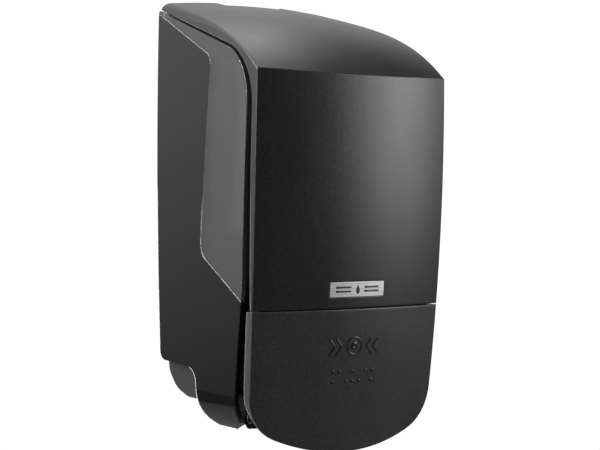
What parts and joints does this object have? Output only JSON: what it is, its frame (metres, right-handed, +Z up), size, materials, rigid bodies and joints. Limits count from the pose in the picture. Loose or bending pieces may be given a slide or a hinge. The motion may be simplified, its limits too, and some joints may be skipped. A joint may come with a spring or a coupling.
{
  "type": "wall mounted soap dispenser",
  "caption": "Black wall soap dispenser: hinged cover with an arched top, push panel below it, smoked side windows, bottle and pump inside.",
  "frame": {"origin": "on the wall plane, at the centre of the four wall-screw slots", "axes": "+Z up, +Y into the wall, +X to the right seen from the front"},
  "size_m": [0.1018, 0.0944, 0.2058],
  "materials": {
    "satin_black": "fine-textured satin",
    "gloss_black": "polished",
    "smoke_window": "smoked, glossy",
    "inner_black": "moulded",
    "bottle_plastic": "milky blow-moulded",
    "pump_plastic": "moulded",
    "badge_metal": "satin",
    "steel": "plated",
    "seal_rubber": "soft"
  },
  "bodies": {
    "wall_unit": {"back_housing": "inner_black", "side_panel_left": "gloss_black", "side_panel_right": "gloss_black", "side_window_left": "smoke_window", "side_window_right": "smoke_window", "side_panel_screws": "steel", "neck_bracket": "inner_black", "bracket_screws": "steel", "cover_hinge_pins": "steel", "rocker_pins": "steel", "latch_guide": "inner_black", "latch_spring": "steel", "soap_bottle": "bottle_plastic", "bottle_cap": "pump_plastic", "cap_gasket": "seal_rubber", "pump_cylinder": "pump_plastic", "inlet_valve_ball": "steel", "pump_spring": "steel"},
    "latch": {"latch_button": "inner_black"},
    "cover": {"front_cover": "satin_black", "cover_frame": "inner_black", "cover_screws": "steel", "badge_plate": "badge_metal", "catch_rib": "inner_black", "push_pivot_pins": "steel"},
    "push": {"push_panel": "satin_black", "push_arms": "inner_black", "push_screws": "steel"},
    "rocker": {"pump_rocker": "inner_black"},
    "pump": {"pump_stem": "pump_plastic", "piston_seal": "seal_rubber", "nozzle_tip": "pump_plastic"}
  },
  "joints": [
    {"name": "cover_hinge", "type": "hinge", "parent": "wall_unit", "child": "cover", "pos_m": [0, -0.064, -0.091], "axis": [1, 0, 0], "range_deg": [0, 90]},
    {"name": "push_hinge", "type": "hinge", "parent": "cover", "child": "push", "pos_m": [0, -0.079, -0.036], "axis": [1, 0, 0], "range_deg": [0, 7.5], "stiffness_Nm_per_rad": 4, "springref_deg": -3.44},
    {"name": "rocker_hinge", "type": "hinge", "parent": "wall_unit", "child": "rocker", "pos_m": [0, -0.066, -0.058], "axis": [1, 0, 0], "range_deg": [0, 15.5]},
    {"name": "pump_slide", "type": "slide", "parent": "wall_unit", "child": "pump", "axis": [0, 0, 1], "range_m": [0, 0.0064], "deforming": ["pump_spring"]},
    {"name": "latch_slide", "type": "slide", "parent": "wall_unit", "child": "latch", "axis": [0, 0, -1], "range_m": [0, 0.003], "stiffness_N_per_m": 600, "springref_m": -0.002, "deforming": ["latch_spring"]}
  ],
  "couplings": [
    {"joint": "rocker_hinge", "follows": "push_hinge", "ratio": 2.05},
    {"joint": "pump_slide", "follows": "push_hinge", "m_per_rad": 0.0481}
  ]
}
